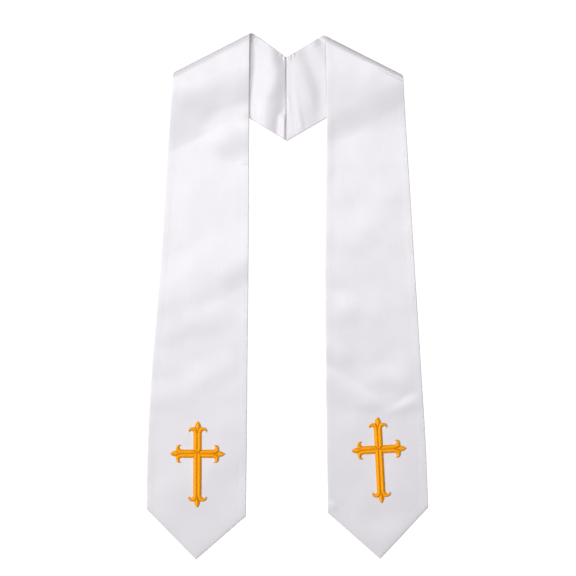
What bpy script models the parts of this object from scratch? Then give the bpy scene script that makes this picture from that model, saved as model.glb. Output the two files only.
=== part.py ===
"""A clerical stole of white satin, laid flat with its two bands folded over at the shoulders.

Units are metres, and +Z is up. The cloth lies on the plane Z = 0, its pointed hems towards -Y and its
shoulders towards +Y, and the origin is on that plane under the middle of the stole.

The stole is cut as two long bands. They are sewn together at the centre back, where their slanting ends
make the V of the neck. From there each band runs out to its shoulder, rolls over along a slanting fold,
and comes down the front to a pointed hem, with an embroidered cross above the point. A band is two
layers of satin and an interfacing, sewn round, turned and pressed, so it is modelled as one wall.
"""

import math
from collections import namedtuple

import bmesh
import bpy
from mathutils import Matrix, Vector
from mathutils.geometry import delaunay_2d_cdt

MM = 0.001

# ---------------------------------------------------------------- driving sizes
WALL = 1.5 * MM  # satin, interfacing and satin, pressed together
PIECE_GAP = 0.3 * MM  # between pieces that are sewn to each other
LAYER_GAP = 0.6 * MM  # between a front and the back panel that it lies on
LEDGE = 46 * MM  # length over which a front comes down off the back panel's edge
STEEP_FOOT = 1.5  # above 1, a front comes down most steeply near the foot of its descent
UNDER_FRONT = 0.9  # share of a back panel's folds that goes on under the front, where the front is raised

# How a band is divided: across it, from its neck edge (0) to its outer edge (1), with a column at the
# hem's point (0.5), and closer at the neck for the gathers. Along it, from the centre back seam to the
# shoulder's roll, in mm at first and then in even steps.
COLUMNS = (0, 0.03, 0.07, 0.13, 0.21, 0.31, 0.41, 0.5, 0.6, 0.7, 0.8, 0.9, 1)
BACK_ROWS_MM = (0, 1.5, 3, 4.5, 6, 7.5, 9, 11, 13, 16, 20, 26, 33)
BACK_STEPS = 7
ROLL_STEPS = 8
FRONT_STEPS = 42

# The centre back seam, from the neck's point down to the point of the V.
SEAM_TOP = Vector((-1.2, 369.4)) * MM
SEAM_BOTTOM = Vector((-0.6, 240.0)) * MM

# The edges of a front, a row for each height: y, x of the outer edge, x of the inner edge, in mm.
Section = namedtuple("Section", "y outer inner")
LEFT_SECTIONS = (
    Section(406, -171.2, -56.0),
    Section(341, -175.9, -56.7),
    Section(240, -183.7, -57.7),
    Section(141, -189.6, -58.2),
    Section(17, -198.3, -59.2),
    Section(-107, -209.0, -60.9),
    Section(-231, -216.0, -62.2),
    Section(-331, -217.8, -63.9),
)
RIGHT_SECTIONS = (
    Section(402, 173.9, 58.4),
    Section(341, 178.0, 59.8),
    Section(240, 184.7, 60.4),
    Section(141, 190.9, 59.4),
    Section(17, 198.7, 58.4),
    Section(-107, 206.5, 59.4),
    Section(-231, 214.3, 61.4),
    Section(-331, 218.4, 63.0),
)

# The soft folds of the cloth, a row for each: the crest runs from (x0, y0) to (x1, y1), bows to the left
# of its way, and falls to nothing at a distance of its own on the left and on the right of it, in mm.
Fold = namedtuple("Fold", "x0 y0 x1 y1 bow left right height")
LEFT_FRONT_FOLDS = (
    Fold(-62, 262, -92, 254, 0, 52, 40, 2.5),
    Fold(-62, 62, -192, -12, 0, 42, 62, 1.7),
    Fold(-108, -36, -134, -40, 0, 24, 22, 1.0),
    Fold(-165, -30, -196, -52, 0, 26, 24, 1.2),
    Fold(-104, -114, -134, -124, 0, 26, 28, 1.0),
    Fold(-150, -146, -202, -156, 0, 26, 28, 1.4),
)
RIGHT_FRONT_FOLDS = (
    Fold(58, 256, 58, 196, 0, 20, 28, 0.8),
    Fold(82, 208, 136, 204, 0, 26, 24, 0.5),
    Fold(150, 166, 176, 162, 0, 24, 20, 0.8),
    Fold(64, 98, 124, 104, 0, 34, 34, 1.4),
    Fold(62, -14, 86, -18, 0, 26, 34, 1.4),
    Fold(62, -80, 86, -92, 0, 16, 22, 1.0),
    Fold(66, -128, 124, -164, 0, 16, 30, 1.3),
    Fold(146, -128, 178, -134, 0, 22, 22, 1.1),
    Fold(158, -192, 192, -166, 0, 15, 20, 1.3),
)
LEFT_BACK_FOLDS = (
    Fold(-34, 387, -41, 280, 12, 34, 96, 3.8),
    Fold(-4.3, 292, -7.4, 250, 0, 4, 12, 2.3),
)
RIGHT_BACK_FOLDS = (
    Fold(18, 344, 23, 262, 0, 48, 25, 2.0),
    Fold(58, 350, 24, 362, 0, 16, 32, 1.9),
)

# The gathers where the neck is caught at the seam, a row for each: the crest's distance from the seam,
# how far it runs down from the neck's edge, its half width and its height, in mm.
Gather = namedtuple("Gather", "from_seam length half_width height")
LEFT_GATHERS = (
    Gather(3.0, 11, 2.6, 1.6),
    Gather(8.6, 8, 3.2, 0.6),
)
RIGHT_GATHERS = (
    Gather(2.6, 7, 1.9, 0.7),
    Gather(6.2, 12, 2.4, 1.2),
    Gather(11.2, 9, 2.7, 1.1),
)

# One band as it is laid out. sign is -1 for the band at -X and 1 for the one at +X. Between its brow and
# its foot a front comes down off the shoulder; both are lines from the inner edge to the outer one. The
# folds of the back panel die out towards the centre back seam, over its furrow.
Side = namedtuple(
    "Side",
    "name sign fold_inner fold_outer roll_rise roll_width brow foot furrow sections"
    " hem_inner hem_tip hem_outer front_folds back_folds gathers cross_at cross_turn",
)
SIDES = (
    Side(
        name="left",
        sign=-1,
        fold_inner=Vector((-56.2, 407.0)) * MM,
        fold_outer=Vector((-174.9, 346.2)) * MM,
        roll_rise=5.5 * MM,
        roll_width=8.0 * MM,
        brow=(Vector((-60.8, 370.0)) * MM, Vector((-178.6, 310.0)) * MM),
        foot=(Vector((-60.8, 284.0)) * MM, Vector((-181.7, 221.0)) * MM),
        furrow=3.2 * MM,
        sections=LEFT_SECTIONS,
        hem_inner=Vector((-64.1, -340.8)) * MM,
        hem_tip=Vector((-141.3, -407.8)) * MM,
        hem_outer=Vector((-217.8, -329.8)) * MM,
        front_folds=LEFT_FRONT_FOLDS,
        back_folds=LEFT_BACK_FOLDS,
        gathers=LEFT_GATHERS,
        cross_at=Vector((-139.0, -244.4)) * MM,
        cross_turn=math.radians(-0.3),
    ),
    Side(
        name="right",
        sign=1,
        fold_inner=Vector((57.2, 403.4)) * MM,
        fold_outer=Vector((177.2, 342.6)) * MM,
        roll_rise=5.6 * MM,
        roll_width=8.5 * MM,
        brow=(Vector((61.6, 364.0)) * MM, Vector((177.9, 370.0)) * MM),
        foot=(Vector((61.6, 246.0)) * MM, Vector((179.4, 268.0)) * MM),
        furrow=3.0 * MM,
        sections=RIGHT_SECTIONS,
        hem_inner=Vector((63.0, -335.4)) * MM,
        hem_tip=Vector((144.2, -406.8)) * MM,
        hem_outer=Vector((218.4, -327.2)) * MM,
        front_folds=RIGHT_FRONT_FOLDS,
        back_folds=RIGHT_BACK_FOLDS,
        gathers=RIGHT_GATHERS,
        cross_at=Vector((142.1, -237.8)) * MM,
        cross_turn=math.radians(3.0),
    ),
)

# The embroidered cross, from the middle of its crossing to the tip of each arm, counterclockwise from
# the arm at +X. Each arm is two columns of satin stitch, which meet in a groove.
ARM_LENGTHS = (42.6 * MM, 50.4 * MM, 42.6 * MM, 82.9 * MM)
ARM_HALF_WIDTH = 6.1 * MM
ARM_END = 19.5 * MM  # from the tip back to the arm's straight sides
PETAL_LENGTH = 9.0 * MM
STITCH_LOW = 0.6 * MM  # height of the stitching at its outline and in its groove
STITCH_HIGH = 1.5 * MM  # and on its crests
CREST = ARM_HALF_WIDTH / 2  # from the outline or the groove to the crest
STITCH_STEP = 6.4 * MM
CLEAR_OF_FOLDS = 20 * MM  # the backing of the embroidery keeps the cloth flat this far round it

# Half of an arm's end, from the tip inwards, a row for each curve: the point that pulls it and the point
# where it ends, across the arm and back from its tip, in mm.
Curve = namedtuple("Curve", "part pull_across pull_back end_across end_back")
ARM_CURVES = (
    Curve("side of the petal", 3.4, 2.8, 4.4, 6.6),
    Curve("waist of the petal", 4.6, 8.0, 4.1, 9.0),
    Curve("back of the curl", 12.0, 8.2, 14.2, 16.4),
    Curve("inside of the curl", 12.2, 14.3, 9.6, 14.1),
    Curve("throat of the curl", 6.6, 14.3, 6.1, 19.5),
)
CURVE_STEPS = 3

SATIN_WHITE = (0.84, 0.82, 0.85, 1.0)
THREAD_GOLD = (0.93, 0.42, 0.02, 1.0)


# ---------------------------------------------------------------- small helpers
def smooth(value):
    """0 below 0, 1 above 1, and an S curve between them."""
    t = min(1.0, max(0.0, value))
    return t * t * (3 - 2 * t)


def hump(distance):
    """1 on a crest, falling smoothly to 0 at a distance of 1."""
    return math.cos(math.pi / 2 * min(1.0, distance)) ** 2


def nearest_on(start, end, point):
    """The point of a straight run that is nearest to a point."""
    run = end - start
    share = (point - start).dot(run) / run.length_squared
    return start + run * min(1.0, max(0.0, share))


def distance_past(start, end, point):
    """How far a point is from a line, positive on the line's left."""
    run = (end - start).normalized()
    return run.x * (point.y - start.y) - run.y * (point.x - start.x)


def edge_at(sections, edge, y):
    """x of a front's edge at a height, on a smooth curve through its sections."""
    heights = [row.y * MM for row in sections]
    places = [getattr(row, edge) * MM for row in sections]
    y = max(heights[-1], min(heights[0], y))
    at = next(i for i in range(len(heights) - 1) if y >= heights[i + 1])
    before, after = max(0, at - 1), min(len(heights) - 1, at + 2)
    step = heights[at + 1] - heights[at]
    slope_in = (places[at + 1] - places[before]) / (heights[at + 1] - heights[before])
    slope_out = (places[after] - places[at]) / (heights[after] - heights[at])
    t = (y - heights[at]) / step
    return (
        (2 * t**3 - 3 * t**2 + 1) * places[at]
        + (t**3 - 2 * t**2 + t) * step * slope_in
        + (3 * t**2 - 2 * t**3) * places[at + 1]
        + (t**3 - t**2) * step * slope_out
    )


# ---------------------------------------------------------------- how high the cloth lies
def fold_lift(folds, point):
    """The height that soft folds give the cloth at a point."""
    lift = 0.0
    for fold in folds:
        start, end = Vector((fold.x0, fold.y0)) * MM, Vector((fold.x1, fold.y1)) * MM
        length = (end - start).length
        along = (point - start).dot(end - start) / length
        share = min(1.0, max(0.0, along / length))
        aside = distance_past(start, end, point) - fold.bow * MM * 4 * share * (1 - share)
        beyond = max(0.0, -along, along - length)
        width = (fold.left if aside > 0 else fold.right) * MM
        away = math.hypot(aside / width, beyond / (max(fold.left, fold.right) * MM))
        lift += fold.height * MM * hump(away)
    return lift


def clear_of_cross(side, point):
    """0 where the embroidery backs the cloth, 1 where the cloth is free of it."""
    _, up, across, down = ARM_LENGTHS
    middle = side.cross_at + Vector((0, (up - down) / 2))
    past_side = abs(point.x - middle.x) - across
    past_end = abs(point.y - middle.y) - (up + down) / 2
    return smooth(max(past_side, past_end) / CLEAR_OF_FOLDS)


def come_down(side, point):
    """How far a front has come down off the shoulder: 0 above its brow, 1 below its foot."""
    past_brow = side.sign * distance_past(side.brow[1], side.brow[0], point)
    past_foot = side.sign * distance_past(side.foot[1], side.foot[0], point)
    share = min(1.0, max(0.0, past_brow / max(past_brow - past_foot, MM)))
    return (smooth(share) + share**STEEP_FOOT) / 2


def front_lift(side, point):
    """Height of a front's lower face: the back panel under it, the shoulder's roll, and its folds."""
    layer = WALL + LAYER_GAP
    past_back = side.sign * distance_past(side.fold_outer, SEAM_BOTTOM, point)
    lift = layer * (1 - smooth(past_back / LEDGE))
    lift += (2 * side.roll_rise - layer) * (1 - come_down(side, point))
    return lift + fold_lift(side.front_folds, point) * clear_of_cross(side, point)


def gather_lift(side, point):
    """The height of the gathers where the neck is caught at the seam."""
    from_seam = abs(point.x - SEAM_TOP.x)
    neck_slope = (side.fold_inner.y - SEAM_TOP.y) / abs(side.fold_inner.x - SEAM_TOP.x)
    below_neck = SEAM_TOP.y + from_seam * neck_slope - point.y
    lift = 0.0
    for gather in side.gathers:
        fade = 1 - smooth(below_neck / (gather.length * MM))
        away = abs(from_seam - gather.from_seam * MM) / (gather.half_width * MM)
        lift += gather.height * MM * hump(away) * fade
    return lift


def back_lift(side, point):
    """Height of a back panel's lower face: free between the seam and the front that covers it."""
    x = abs(point.x)
    free = smooth((abs(side.fold_inner.x) - MM - x) / (20 * MM))
    to_edge = smooth((abs(side.fold_outer.x) - 50 * MM - x) / (60 * MM))
    under = UNDER_FRONT * (1 - come_down(side, point)) * to_edge
    clear_of_seam = smooth(abs(point.x - SEAM_TOP.x) / side.furrow)
    lift = fold_lift(side.back_folds, point) * clear_of_seam
    return lift * (free + (1 - free) * under) + gather_lift(side, point)


# ---------------------------------------------------------------- one band
def seam_point(side, across):
    """A point of the band's end at the centre back seam, from the neck (0) to the V's point (1)."""
    return SEAM_TOP.lerp(SEAM_BOTTOM, across) + Vector((side.sign * PIECE_GAP / 2, 0))


def roll_point(side, across, turn):
    """A point of the shoulder's roll, half an ellipse: turn is 0 on the back panel and pi on the front."""
    along = (side.fold_outer - side.fold_inner).normalized()
    out = Vector((-along.y, along.x)) * side.sign
    travel = (side.fold_outer - SEAM_BOTTOM).normalized()
    mean_radius = (side.roll_rise + side.roll_width) / 2
    drift = mean_radius * travel.dot(along) / travel.dot(out) * (turn - math.pi / 2)
    flat = side.fold_inner.lerp(side.fold_outer, across) + along * drift
    flat += out * (side.roll_width * (math.sin(turn) - 1) - WALL / 2)
    return Vector((flat.x, flat.y, WALL / 2 + side.roll_rise * (1 - math.cos(turn))))


def back_point(side, across, down):
    """A point of the back panel, from the centre back seam (0) to the shoulder's roll (1)."""
    flat = seam_point(side, across).lerp(roll_point(side, across, 0).xy, down)
    return Vector((flat.x, flat.y, WALL / 2 + back_lift(side, flat)))


def hem_point(side, across):
    """A point of the pointed hem, from its inner corner (0) by its tip (0.5) to its outer one (1)."""
    if across <= 0.5:
        return side.hem_inner.lerp(side.hem_tip, across * 2)
    return side.hem_tip.lerp(side.hem_outer, across * 2 - 1)


def share_across(side, flat):
    """How far across the front a flat point is, from its inner edge (0) to its outer edge (1)."""
    inner, outer = edge_at(side.sections, "inner", flat.y), edge_at(side.sections, "outer", flat.y)
    return (flat.x - inner) / (outer - inner)


def front_point(side, across, down):
    """A point of the front, from the shoulder's roll (0) to the hem (1)."""
    top, hem = roll_point(side, across, math.pi).xy, hem_point(side, across)
    share = share_across(side, top) * (1 - down) + share_across(side, hem) * down
    y = top.y * (1 - down) + hem.y * down
    inner, outer = edge_at(side.sections, "inner", y), edge_at(side.sections, "outer", y)
    flat = Vector((inner + (outer - inner) * share, y))
    return Vector((flat.x, flat.y, WALL / 2 + front_lift(side, flat)))


def band_rows(side):
    """The middle of the band's wall as rows of points, from the centre back seam to the hem."""
    length = (roll_point(side, 0.5, 0).xy - seam_point(side, 0.5)).length
    back = [place * MM / length for place in BACK_ROWS_MM]
    rest = 1 - back[-1]
    back += [back[-1] + rest * step / BACK_STEPS for step in range(1, BACK_STEPS)]
    turns = [math.pi * step / ROLL_STEPS for step in range(ROLL_STEPS)]
    front = [step / FRONT_STEPS for step in range(FRONT_STEPS + 1)]
    rows = [[back_point(side, across, down) for across in COLUMNS] for down in back]
    rows += [[roll_point(side, across, turn) for across in COLUMNS] for turn in turns]
    rows += [[front_point(side, across, down) for across in COLUMNS] for down in front]
    return rows


def make_band(side, collection, material):
    """One band: a flat grid, laid through the rows of its middle and thickened to the wall."""
    rows = band_rows(side)
    sheet = bmesh.new()
    size_across, size_along = len(COLUMNS) - 1, len(rows) - 1
    bmesh.ops.create_grid(sheet, x_segments=size_across, y_segments=size_along, size=0.5)
    for vert in sheet.verts:
        row = round((vert.co.y + 0.5) * size_along)
        column = round((vert.co.x + 0.5) * size_across)
        vert.co = rows[row][column]
    mesh = bpy.data.meshes.new(f"{side.name}_band")
    sheet.to_mesh(mesh)
    sheet.free()

    band = add_object(mesh, collection, material)
    wall = band.modifiers.new("wall", "SOLIDIFY")
    wall.thickness = WALL
    wall.offset = 0.0
    return band


# ---------------------------------------------------------------- one embroidered cross
def arm_side(length):
    """The outline of an arm's +Y side, from its tip back to its straight side, with the arm on +X."""
    points = [Vector((length, 0))]
    for curve in ARM_CURVES:
        start = points[-1]
        pull = Vector((length - curve.pull_back * MM, curve.pull_across * MM))
        end = Vector((length - curve.end_back * MM, curve.end_across * MM))
        for step in range(1, CURVE_STEPS + 1):
            t = step / CURVE_STEPS
            points.append(start * (1 - t) ** 2 + pull * 2 * t * (1 - t) + end * t * t)
    straight = length - ARM_END - ARM_HALF_WIDTH
    steps = math.ceil(straight / STITCH_STEP)
    corner = Vector((ARM_HALF_WIDTH, ARM_HALF_WIDTH))
    points += [points[-1].lerp(corner, step / steps) for step in range(1, steps)]
    return points


def cross_outline():
    """The outline of the cross, counterclockwise from the foot of the arm at +X."""
    outline = []
    for turn, length in enumerate(ARM_LENGTHS):
        side = arm_side(length)
        arm = [Vector((point.x, -point.y)) for point in reversed(side[1:])]
        arm += side + [Vector((ARM_HALF_WIDTH, ARM_HALF_WIDTH))]
        quarter = Matrix.Rotation(math.pi / 2 * turn, 2)
        outline += [quarter @ point for point in arm]
    return outline


def crest_points():
    """Points inside the outline, along the groove and the crests, in the petals and in the curls."""
    points = [Vector((0, 0))]
    for turn, length in enumerate(ARM_LENGTHS):
        straight = length - ARM_END
        steps = math.ceil(straight / STITCH_STEP)
        places = [straight * step / steps for step in range(1, steps + 1)]
        arm = [Vector((place, across)) for place in places for across in (-CREST, 0, CREST)]
        arm += [Vector((straight + 5 * MM, across * MM)) for across in (-5, 0, 5)]
        arm += [Vector((straight + 8 * MM, across * MM)) for across in (-8.2, -3.2, 3.2, 8.2)]
        arm += [Vector((length - PETAL_LENGTH, 0)), Vector((length - 6 * MM, 0))]
        quarter = Matrix.Rotation(math.pi / 2 * turn, 2)
        points += [quarter @ point for point in arm]
    return points


def groove_distance(point):
    """How far a point is from the groove along its arm, which ends at the petal."""
    best = math.inf
    for turn, length in enumerate(ARM_LENGTHS):
        end = Matrix.Rotation(math.pi / 2 * turn, 2) @ Vector((length - PETAL_LENGTH, 0))
        best = min(best, (point - nearest_on(Vector((0, 0)), end, point)).length)
    return best


def stitch_height(outline, point):
    """Height of the stitching over its back: low at the outline and the groove, high between them."""
    sides = zip(outline, outline[1:] + outline[:1])
    from_edge = min((point - nearest_on(start, end, point)).length for start, end in sides)
    nearest = min(from_edge, groove_distance(point)) / CREST
    return STITCH_LOW + (STITCH_HIGH - STITCH_LOW) * math.sin(math.pi / 2 * min(1.0, nearest))


def make_cross(side, collection, material):
    """The cross of satin stitch: its outline filled, laid on the front, and raised along its crests."""
    outline = cross_outline()
    ring = [(i, (i + 1) % len(outline)) for i in range(len(outline))]
    filled = delaunay_2d_cdt(outline + crest_points(), ring, [], 1, 0.01 * MM)
    flat_points, triangles = filled[0], filled[2]

    stitching = bmesh.new()
    verts = [stitching.verts.new((point.x, point.y, 0)) for point in flat_points]
    for triangle in triangles:
        stitching.faces.new([verts[i] for i in triangle])
    raised = bmesh.ops.extrude_face_region(stitching, geom=stitching.faces[:])
    top = {item for item in raised["geom"] if isinstance(item, bmesh.types.BMVert)}
    turned = Matrix.Rotation(side.cross_turn, 2)
    for vert in stitching.verts:
        flat = vert.co.xy
        on_front = side.cross_at + turned @ flat
        height = stitch_height(outline, flat) if vert in top else 0.0
        panel = front_lift(side, on_front) + WALL
        vert.co = (on_front.x, on_front.y, panel + PIECE_GAP + height)
    bmesh.ops.recalc_face_normals(stitching, faces=stitching.faces[:])
    mesh = bpy.data.meshes.new(f"{side.name}_cross")
    stitching.to_mesh(mesh)
    stitching.free()
    return add_object(mesh, collection, material)


# ---------------------------------------------------------------- the stole
def add_object(mesh, collection, material):
    """An object of the mesh's name, smooth but for its sharp edges."""
    mesh.materials.append(material)
    mesh.shade_smooth()
    mesh.set_sharp_from_angle(angle=math.radians(40))
    obj = bpy.data.objects.new(mesh.name, mesh)
    collection.objects.link(obj)
    return obj


def make_material(name, colour, roughness):
    """A plain material of one colour."""
    material = bpy.data.materials.new(name)
    material.use_nodes = True
    shader = material.node_tree.nodes["Principled BSDF"]
    shader.inputs["Base Color"].default_value = colour
    shader.inputs["Roughness"].default_value = roughness
    shader.inputs["Metallic"].default_value = 0.0
    material.diffuse_color = colour
    return material


def main():
    for obj in list(bpy.data.objects):
        bpy.data.objects.remove(obj, do_unlink=True)
    stole = bpy.data.collections.new("clerical_stole")
    bpy.context.scene.collection.children.link(stole)
    satin = make_material("white_satin", SATIN_WHITE, 0.38)
    thread = make_material("gold_thread", THREAD_GOLD, 0.42)
    for side in SIDES:
        make_band(side, stole, satin)
        make_cross(side, stole, thread)


main()
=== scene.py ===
# %% [markdown]
# # A white satin stole with two gold crosses
#
# A stole is a long narrow scarf worn over a cleric's shoulders. This one lies on a table: its two bands
# meet at the centre back, fold over at the shoulders and come down side by side to pointed ends. The
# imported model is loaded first. It holds a plain solid for each band and for each cross. A finer piece is
# made below in the place of each, so a dressed piece and its solid never part.

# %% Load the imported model
import math
from collections import namedtuple

import bpy
import numpy as np
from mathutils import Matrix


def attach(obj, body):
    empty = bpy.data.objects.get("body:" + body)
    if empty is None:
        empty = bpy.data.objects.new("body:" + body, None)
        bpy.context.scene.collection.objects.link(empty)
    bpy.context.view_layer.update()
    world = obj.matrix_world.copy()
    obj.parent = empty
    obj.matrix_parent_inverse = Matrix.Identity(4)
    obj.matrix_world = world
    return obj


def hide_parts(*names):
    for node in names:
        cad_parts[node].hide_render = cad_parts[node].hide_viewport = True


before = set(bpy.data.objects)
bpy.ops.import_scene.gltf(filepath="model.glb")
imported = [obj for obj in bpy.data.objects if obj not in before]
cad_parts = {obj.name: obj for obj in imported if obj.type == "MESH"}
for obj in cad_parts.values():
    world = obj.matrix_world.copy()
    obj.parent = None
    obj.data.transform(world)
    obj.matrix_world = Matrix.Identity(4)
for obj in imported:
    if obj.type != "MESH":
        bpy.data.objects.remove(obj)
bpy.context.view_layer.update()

MM = 0.001  # in metres, as Blender has it; the sizes of the cloth below are in millimetres
print("solids:", ", ".join(sorted(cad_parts)))

# %% [markdown]
# ## Camera
#
# Flat goods are pictured from straight above. A long lens from far away keeps the shoulders, which lie a
# centimetre higher than the hems, at the same scale as the rest. A camera with no rotation looks down -Z
# with +Y at the top of the picture, so only its place and its lens have to be worked out.

# %% Camera straight above
VIEW_WIDTH = 892.8 * MM  # the width of table that the picture shows
VIEW_CENTRE = (1.2 * MM, 12.4 * MM)
CAMERA_HEIGHT = 3.2
SENSOR = 36.0  # width of the camera's sensor, in millimetres as the lens is

camera = bpy.data.objects.new("camera", bpy.data.cameras.new("camera"))
camera.data.sensor_width = SENSOR
camera.data.lens = SENSOR * CAMERA_HEIGHT / VIEW_WIDTH
camera.location = (*VIEW_CENTRE, CAMERA_HEIGHT)
bpy.context.collection.objects.link(camera)
bpy.context.scene.camera = camera
print(f"lens {camera.data.lens:.0f} mm at {CAMERA_HEIGHT} m")

# %% [markdown]
# ## Light
#
# White satin shows its form by small changes of tone. A large softbox stands far out on the left, about
# 48 degrees up, so slopes that face right go grey and raised edges cast a soft shadow. A second one hangs
# 3 m overhead, a little towards the shoulders and to the left: satin mirrors it, and level cloth near the
# shoulders gleams while tilted cloth does not. A dim world fills the shadows. Sun lamps or a picture of a
# studio would light the cloth too, but the size of an area light sets how soft its shadows are.

# %% Lights
Softbox = namedtuple("Softbox", "name place size_x size_y watts")
SOFTBOXES = (
    Softbox("key_left", (-6.0, 0.2, 6.6), 2.4, 3.6, 436),
    Softbox("overhead", (-0.27, 0.60, 3.0), 2.1, 0.89, 47.0),
)
WORLD_TINT = (1.0, 0.92, 1.0, 1.0)
WORLD_STRENGTH = 0.107


def add_softbox(box):
    """An area light aimed at the middle of the stole, and hidden from the camera."""
    light = bpy.data.lights.new(box.name, "AREA")
    light.shape = "RECTANGLE"
    light.size, light.size_y = box.size_x, box.size_y
    light.energy = box.watts
    obj = bpy.data.objects.new(box.name, light)
    obj.location = box.place
    towards = -obj.location
    obj.rotation_euler = towards.to_track_quat("-Z", "Y").to_euler()
    obj.visible_camera = False
    bpy.context.collection.objects.link(obj)


for box in SOFTBOXES:
    add_softbox(box)

world = bpy.data.worlds.new("studio")
world.use_nodes = True
world.node_tree.nodes["Background"].inputs["Color"].default_value = WORLD_TINT
world.node_tree.nodes["Background"].inputs["Strength"].default_value = WORLD_STRENGTH
bpy.context.scene.world = world
bpy.context.scene.view_settings.view_transform = "Standard"
print(f"{len(SOFTBOXES)} softboxes and a world of strength {WORLD_STRENGTH}")

# %% [markdown]
# ## Floor
#
# The table is a plain white plane under the cloth. A white plane in plain light comes out pale grey, and
# turning the lamps up would burn out the satin. So the camera sees the floor with a glow added, through
# the Light Path node, while the cloth is lit by the floor's plain white, and a faint contact shadow stays.

# %% Floor
FLOOR_SIZE = 30.0
FLOOR_DROP = 0.2 * MM  # below the cloth's underside, so that the two faces never fight
FLOOR_GLOW = 0.93
FLOOR_WHITE = (0.35, 0.35, 0.35, 1.0)
FLOOR_SEEN = (0.2, 0.2, 0.2, 1.0)
FLOOR_CORNERS = ((-1, -1), (1, -1), (1, 1), (-1, 1))


def floor_material():
    """White: lit plainly for the cloth, and with a glow for the camera."""
    material = bpy.data.materials.new("white_floor")
    material.use_nodes = True
    nodes, links = material.node_tree.nodes, material.node_tree.links
    nodes.clear()
    out, mix = nodes.new("ShaderNodeOutputMaterial"), nodes.new("ShaderNodeMixShader")
    plain, seen = nodes.new("ShaderNodeBsdfDiffuse"), nodes.new("ShaderNodeBsdfDiffuse")
    glow, add = nodes.new("ShaderNodeEmission"), nodes.new("ShaderNodeAddShader")
    path = nodes.new("ShaderNodeLightPath")
    plain.inputs["Color"].default_value = FLOOR_WHITE
    seen.inputs["Color"].default_value = FLOOR_SEEN
    glow.inputs["Strength"].default_value = FLOOR_GLOW
    links.new(seen.outputs[0], add.inputs[0])
    links.new(glow.outputs[0], add.inputs[1])
    links.new(path.outputs["Is Camera Ray"], mix.inputs[0])
    links.new(plain.outputs[0], mix.inputs[1])
    links.new(add.outputs[0], mix.inputs[2])
    links.new(mix.outputs[0], out.inputs[0])
    return material


floor_mesh = bpy.data.meshes.new("floor")
half_size = FLOOR_SIZE / 2
floor_points = [(x * half_size, y * half_size, 0) for x, y in FLOOR_CORNERS]
floor_mesh.from_pydata(floor_points, [], [(0, 1, 2, 3)])
floor_mesh.materials.append(floor_material())
floor = bpy.data.objects.new("floor", floor_mesh)
floor.location.z = -FLOOR_DROP
bpy.context.collection.objects.link(floor)
print(f"a floor {FLOOR_SIZE:.0f} m wide, {FLOOR_DROP / MM:.1f} mm under the cloth")

# %% [markdown]
# ## The sizes of a band
#
# Each band of the stole is one long strip. The tables below hold what a maker would mark on it, in
# millimetres on the table. The long edges, the seam and the gaps are the numbers that the solids were
# made from, so the fine cloth lies on their outline. A named row for each height is easier to change than
# a list of mesh points, and the mesh follows from the rows by a curve.

# %% Sizes shared by the two bands
WALL = 1.5  # satin, interfacing and satin, pressed together
HALF_WALL = WALL / 2
PIECE_GAP = 0.3  # between the two bands at the centre back
LAYER_GAP = 0.6  # between a front and the back panel that it lies on
SEAM_TOP = np.array((-1.2, 369.4))
SEAM_BOTTOM = np.array((-0.6, 240.0))

Section = namedtuple("Section", "y outer inner")
LEFT_SECTIONS = (
    Section(406, -171.2, -56.0),
    Section(341, -175.9, -56.7),
    Section(240, -183.7, -57.7),
    Section(141, -189.6, -58.2),
    Section(17, -198.3, -59.2),
    Section(-107, -209.0, -60.9),
    Section(-231, -216.0, -62.2),
    Section(-331, -217.8, -63.9),
)
RIGHT_SECTIONS = (
    Section(402, 173.9, 58.4),
    Section(341, 178.0, 59.8),
    Section(240, 184.7, 60.4),
    Section(141, 190.9, 59.4),
    Section(17, 198.7, 58.4),
    Section(-107, 206.5, 59.4),
    Section(-231, 214.3, 61.4),
    Section(-331, 218.4, 63.0),
)
print(f"the neck seam is {np.hypot(*(SEAM_TOP - SEAM_BOTTOM)):.0f} mm long")

# %% [markdown]
# ## The folds of the cloth
#
# Satin never lies quite flat. Each row below is one soft fold: its crest runs from one point to another,
# may bow to the left, and falls off over a width of its own on either side. Where the neck is caught at
# the seam, the cloth is gathered too: a gather is a short crest that runs down from the neck's edge. Rows
# given one by one give the uneven lie of real cloth. A noise texture would be quicker, but noise looks the
# same everywhere, and cloth buckles only where it has been folded, caught or pressed.

# %% Folds of the two bands
Fold = namedtuple("Fold", "x0 y0 x1 y1 bow left right height")
LEFT_FRONT_FOLDS = (
    Fold(-62, 262, -90, 254, 0, 52, 42, 3.3),
    Fold(-60, 207, -71, 206, 0, 4, 4, 0.5),
    Fold(-62, 62, -192, -12, 0, 42, 62, 1.5),
    Fold(-104, -34, -136, -44, 0, 30, 34, 0.6),
    Fold(-160, -36, -196, -56, 0, 32, 32, 0.7),
    Fold(-100, -112, -136, -128, 0, 32, 34, 0.6),
    Fold(-156, -148, -200, -160, 0, 30, 32, 0.8),
)
RIGHT_FRONT_FOLDS = (
    Fold(58, 256, 58, 196, 0, 20, 28, 0.8),
    Fold(82, 208, 136, 204, 0, 26, 24, 0.5),
    Fold(150, 166, 176, 162, 0, 28, 28, 0.4),
    Fold(68, 96, 118, 100, 0, 40, 44, 1.1),
    Fold(62, -14, 88, -20, 0, 30, 38, 1.0),
    Fold(62, -80, 86, -92, 0, 22, 26, 0.7),
    Fold(66, -128, 124, -164, 0, 20, 36, 1.1),
    Fold(148, -126, 178, -134, 0, 28, 26, 0.7),
    Fold(158, -192, 192, -166, 0, 17, 22, 1.1),
    Fold(70, -324, 73, -327, 0, 8, 9, 0.7),
    Fold(112, -374, 172, -374, 0, 40, 34, 0.9),
)
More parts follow.
